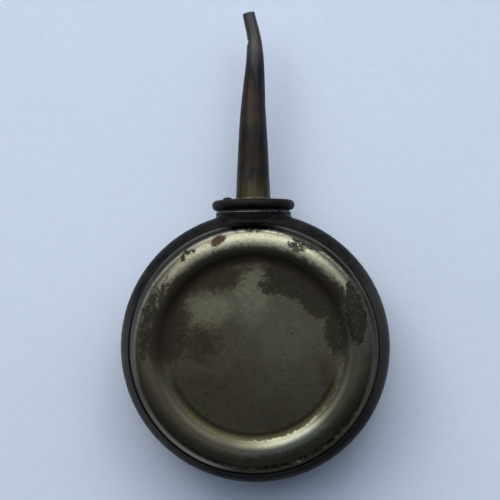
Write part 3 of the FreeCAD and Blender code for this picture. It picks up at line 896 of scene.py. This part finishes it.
# -------- spout
def make_washer(material):
    """A leather ring with frayed edges, a hair clear of the collar and the cap."""
    gap = 0.01 * MM
    corners = [
        (WASHER_INNER_RADIUS, COLLAR_TOP + gap),
        (WASHER_RADIUS, COLLAR_TOP + gap),
        (WASHER_RADIUS, RECESS_FLOOR - gap),
        (WASHER_INNER_RADIUS, RECESS_FLOOR - gap),
    ]
    outline = rounded(corners, [0.12 * MM] * 4)

    def shape(radius, along, angle):
        fray = abs(rough(on_neck(radius, along, angle), 0.7 * MM, 0.06 * MM, 5.0))
        return (radius - fray if radius > 7.2 * MM else radius + fray * 0.4), along

    washer = turned("leather_washer", outline, 180, on_neck, shape)
    finish_piece(washer, "washer", material, "sealing_washer")


def make_cap(material):
    """The cap's disc with its fat rolled edge, hollowed below to take the washer."""
    corners = [
        (CAP_HOLE_RADIUS, RECESS_FLOOR),
        (RECESS_RADIUS, RECESS_FLOOR),
        (RECESS_RADIUS, CAP_BOTTOM),
        (CAP_RADIUS, CAP_BOTTOM),
        (CAP_RADIUS, CAP_TOP),
        (CAP_HOLE_RADIUS, CAP_TOP),
    ]
    outline = rounded(corners, [0, 0.1 * MM, 0.04 * MM, 1.02 * MM, CAP_ROUND, 0], 9)

    def shape(radius, along, angle):
        if radius < RECESS_RADIUS + 0.05 * MM:
            return radius, along
        dip = abs(rough(on_neck(radius, along, angle), 3.0 * MM, 0.09 * MM, 7.0))
        return radius - dip, along

    cap = turned("spout_cap_skin", outline, 240, on_neck, shape, 35)
    finish_piece(cap, "spout", material, "spout_cap")


def make_plug(material):
    """The plug under the cap: a short tube that carries the male thread."""
    bevel = 0.1 * MM
    length = RECESS_FLOOR - PLUG_END
    rows = [
        (PLUG_BORE_RADIUS, RECESS_FLOOR),
        (PLUG_BORE_RADIUS, PLUG_END + bevel),
        (PLUG_BORE_RADIUS + bevel, PLUG_END),
        (PLUG_ROOT_RADIUS - bevel, PLUG_END),
    ]
    count = round(length / THREAD_STEP)
    for k in range(count + 1):
        rows.append((PLUG_ROOT_RADIUS, PLUG_END + bevel + (length - bevel) * k / count))

    def placed(row, angle):
        radius, along = row
        if radius == PLUG_ROOT_RADIUS:
            radius += (PLUG_CREST_RADIUS - PLUG_ROOT_RADIUS) * ridge_share(along, angle, 0.0, True)
        return on_neck(radius, along, angle)

    plug = ring_piece("threaded_plug_skin", rows, THREAD_COLUMNS, placed, 35)
    finish_piece(plug, "spout", material, "threaded_plug")


def station(t):
    """Centre (x, along) and radius of the spout at t, from 0 at its base to 1 at its tip."""
    last = len(SPOUT_STATIONS) - 1
    place = min(max(t, 0.0), 1.0) * last
    i = min(int(place), last - 1)
    u = place - i
    rows = [SPOUT_STATIONS[min(max(k, 0), last)] for k in (i - 1, i, i + 1, i + 2)]
    values = []
    for a, b, c, d in zip(*rows):
        values.append(
            0.5 * (2 * b + (c - a) * u + (2 * a - 5 * b + 4 * c - d) * u**2 + (3 * b - a - 3 * c + d) * u**3)
        )
    return values[0] * MM, values[1] * MM, values[2] * MM


def spout_frame(t):
    """The spout's centre at t, the direction across it, and its radius."""
    step = 0.004
    x0, y0, _ = station(t - step)
    x1, y1, _ = station(t + step)
    x, y, radius = station(t)
    along = Vector((x1 - x0, y1 - y0, 0)).normalized()
    across = Vector((along.y, -along.x, 0))
    return CENTRE + Vector((x, y, 0)), across, radius


def tube_dent(t, angle, point):
    """How far the spout's skin is pushed in at a place, in metres."""
    kink_t, kink_angle = 0.765, math.pi
    off = math.atan2(math.sin(angle - kink_angle), math.cos(angle - kink_angle))
    kink = 0.2 * MM * math.exp(-((t - kink_t) / 0.016) ** 2 - (off / 0.8) ** 2)
    wave = abs(rough(point, 4.0 * MM, 0.05 * MM, 11.0))
    return kink + wave


def make_tube(material):
    """The tapered tube: out along its skin and back along its bore."""
    steps = 220
    rows = [(i / steps, 0.0) for i in range(steps + 1)]
    rows += [(i / steps, TUBE_WALL) for i in range(steps, -1, -1)]
    rows = [(t, inset, *spout_frame(t)) for t, inset in rows]

    def placed(row, angle):
        t, inset, centre, across, radius = row
        spoke = across * math.cos(angle) + Vector((0, 0, math.sin(angle)))
        dent = tube_dent(t, angle, centre + spoke * radius)
        return centre + spoke * (radius - inset - dent)

    tube = ring_piece("spout_tube_skin", rows, 96, placed, 35)
    finish_piece(tube, "spout", material, "spout_tube")


def make_lap_seam(material):
    """The soldered lap down the back of the spout, a thin strip with uneven edges."""
    steps = 200
    vertices = []
    for i in range(steps + 1):
        t = 0.02 + 0.975 * i / steps
        centre, across, radius = spout_frame(t)
        half = (0.42 + 0.12 * noise.noise(Vector((t * 40, 0, 0)))) * MM
        proud = (0.10 + 0.035 * noise.noise(Vector((t * 55, 3, 0)))) * MM
        for side, depth in ((-1, -0.25), (-1, 0.02), (-0.55, 1), (0.55, 1), (1, 0.02), (1, -0.25)):
            reach = half * side / radius
            spoke = across * math.sin(reach) + Vector((0, 0, -math.cos(reach)))
            away = radius + (proud * depth if depth > 0 else depth * MM)
            vertices.append(centre + spoke * away)
    width = 6
    faces = []
    for i in range(steps):
        for k in range(width):
            a = i * width + k
            b = i * width + (k + 1) % width
            faces.append((a, b, b + width, a + width))
    faces.append(tuple(range(width)))
    last = steps * width
    faces.append(tuple(range(last, last + width))[::-1])
    seam = new_piece("spout_lap_strip", vertices, outward(vertices, faces), 35)
    finish_piece(seam, "spout", material, "spout_lap_seam")


def make_base_solder(material):
    """The lumpy fillet of solder that the spout stands in."""
    neck = station(0.0)[2]
    width = 0.75 * MM
    height = 0.6 * MM
    base = CAP_TOP - 0.02 * MM
    steps = 6
    outline = [(neck - 0.3 * MM, base), (neck - 0.3 * MM, CAP_TOP + height)]
    for k in range(steps + 1):
        angle = math.radians(90 * k / steps)
        outline.append((neck + width * (1 - math.cos(angle)), CAP_TOP + height * (1 - math.sin(angle))))
    outline.append((neck + width, base))

    def shape(radius, along, angle):
        if radius < neck - 0.1 * MM:
            return radius, along
        lump = 0.5 + 0.5 * noise.noise(Vector((math.cos(angle) * 2.2, math.sin(angle) * 2.2, 9.0)))
        share = max(0.0, (along - CAP_TOP) / height)
        return radius - 0.15 * MM * lump * (1 - share), along - 0.18 * MM * lump * share

    ring = turned("spout_base_fillet", outline, 180, on_neck, shape, 40)
    finish_piece(ring, "spout", material, "spout_base_solder")


def make_drip(material):
    """The small lump of solder on the cap beside the spout."""
    low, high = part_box("cap_solder_drip")
    middle = (low + high) / 2
    base = low.y - 0.05 * MM
    rows = 14

    def placed(row, angle):
        share = row / (rows - 1)
        ring = math.cos(math.pi / 2 * share) ** 0.8
        lump = 1 - 0.16 * abs(noise.noise(Vector((math.cos(angle), math.sin(angle), share * 2)) * 1.7))
        x = middle.x + (high.x - low.x) / 2 * ring * math.cos(angle) * lump
        y = base + (high.y - base) * math.sin(math.pi / 2 * share) * (0.6 + 0.4 * lump)
        z = middle.z + (high.z - low.z) / 2 * ring * math.sin(angle) * lump
        return Vector((x, y, z))

    drip = solid_piece("cap_solder_lump", range(rows), 36, placed, 50)
    finish_piece(drip, "spout", material, "cap_solder_drip")


# -------- stage
def make_floor():
    half = 1.2
    corners = [(-half, -half), (half, -half), (half, half), (-half, half)]
    vertices = [Vector((x, y, -0.02 * MM)) for x, y in corners]
    floor = new_piece("paper_floor", vertices, [(0, 1, 2, 3)])
    floor.data.materials.append(paper("pale_paper"))


def aim(thing, target, up):
    """Points a light or camera at a target, with up as near as it can be to the given direction."""
    forward = (target - thing.location).normalized()
    right = forward.cross(up).normalized()
    turn = Matrix((right, right.cross(forward), -forward)).transposed().to_4x4()
    thing.matrix_world = Matrix.Translation(thing.location) @ turn


def make_camera():
    """The camera stands almost straight above, a little to the right of the can."""
    distance = 0.288
    camera = bpy.data.objects.new("camera", bpy.data.cameras.new("camera"))
    bpy.context.scene.collection.objects.link(camera)
    camera.location = Vector((0.0175, -0.0051, CENTRE.z + distance))
    camera.data.lens = 97.5
    camera.data.sensor_width = 36.0
    roll = math.radians(0.85)
    aim(camera, Vector((-0.00085, -0.00087, CENTRE.z)), Vector((math.sin(roll), math.cos(roll), 0.0)))
    bpy.context.scene.camera = camera


def area_light(name, azimuth, elevation, width, height, power, color):
    """A soft rectangular light a metre away. Azimuth 0 is towards +X and 90 towards +Y."""
    light = bpy.data.objects.new(name, bpy.data.lights.new(name, "AREA"))
    bpy.context.scene.collection.objects.link(light)
    light.data.shape = "RECTANGLE"
    light.data.size = width
    light.data.size_y = height
    light.data.energy = power
    light.data.color = color
    a, e = math.radians(azimuth), math.radians(elevation)
    light.location = Vector((math.cos(a) * math.cos(e), math.sin(a) * math.cos(e), math.sin(e)))
    aim(light, CENTRE, Vector((0.0, 0.0, 1.0)))


def make_lights():
    """A bright cool room towards +Y, dim and warm towards -Y, with soft windows high on the bright side."""
    world = bpy.data.worlds.new("soft_room")
    world.use_nodes = True
    nodes, links = world.node_tree.nodes, world.node_tree.links
    split = nodes.new("ShaderNodeSeparateXYZ")
    glow = nodes.new("ShaderNodeMapRange")
    glow.interpolation_type = "SMOOTHSTEP"
    glow.inputs["From Min"].default_value = -0.42
    glow.inputs["From Max"].default_value = 0.3
    sky = nodes.new("ShaderNodeMixRGB")
    sky.inputs["Color1"].default_value = (0.034, 0.029, 0.027, 1.0)
    sky.inputs["Color2"].default_value = (0.318, 0.39, 0.515, 1.0)
    links.new(nodes.new("ShaderNodeTexCoord").outputs["Generated"], split.inputs[0])
    links.new(split.outputs["Y"], glow.inputs["Value"])
    links.new(glow.outputs["Result"], sky.inputs["Fac"])
    links.new(sky.outputs["Color"], nodes["Background"].inputs["Color"])
    bpy.context.scene.world = world
    area_light("window", 99, 34, 1.2, 0.8, 9.3, (0.97, 0.96, 0.905))
    area_light("left_window", 147, 42, 0.9, 0.45, 1.0, (0.97, 0.96, 0.905))
    area_light("right_window", 48, 40, 0.7, 0.45, 1.6, (0.97, 0.96, 0.905))
    area_light("ceiling", 97, 64, 1.5, 0.45, 2.4, (0.92, 0.96, 0.95))
    bpy.context.scene.view_settings.view_transform = "Standard"


# -------- everything together
def build():
    make_camera()
    make_lights()
    make_floor()
    front_plate = cover_plate("front_plate", True)
    back_plate = cover_plate("back_plate", False)
    band_metal = black_metal("band_black", 0.06)
    cap_black = black_metal("cap_black", 0.08)
    rim_solder = solder_metal("rim_solder", (0.012, 0.011, 0.010), (0.05, 0.047, 0.044))
    plug_solder = solder_metal("plug_solder", (0.12, 0.115, 0.10), (0.30, 0.29, 0.27))
    dark_solder = solder_metal("dark_solder", (0.003, 0.003, 0.003), (0.011, 0.010, 0.0095))
    warm_solder = solder_metal("warm_solder", (0.05, 0.042, 0.03), (0.15, 0.125, 0.09))
    make_band(band_metal)
    make_cover_ring("front_cover_ring", 1, front_plate, "front_cover")
    make_cover_ring("back_cover_ring", -1, back_plate, "back_cover")
    make_pressing("front_pressing", 1, front_plate, "front_press_panel")
    make_pressing("back_pressing", -1, back_plate, "back_press_panel")
    make_collar(collar_metal("collar_black"))
    make_neck_solder(dark_solder)
    make_washer(leather("oily_leather"))
    make_cap(cap_black)
    make_plug(thread_metal("thread_steel"))
    make_tube(spout_metal("spout_patina"))
    make_lap_seam(warm_solder)
    make_base_solder(warm_solder)
    make_drip(dark_solder)
    kept = {
        "band_lap_strip": band_metal,
        "front_rim_solder": rim_solder,
        "back_rim_solder": rim_solder,
        "plug_solder": plug_solder,
    }
    for node, material in kept.items():
        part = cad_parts[node]
        part.data.materials.clear()
        part.data.materials.append(material)


build()
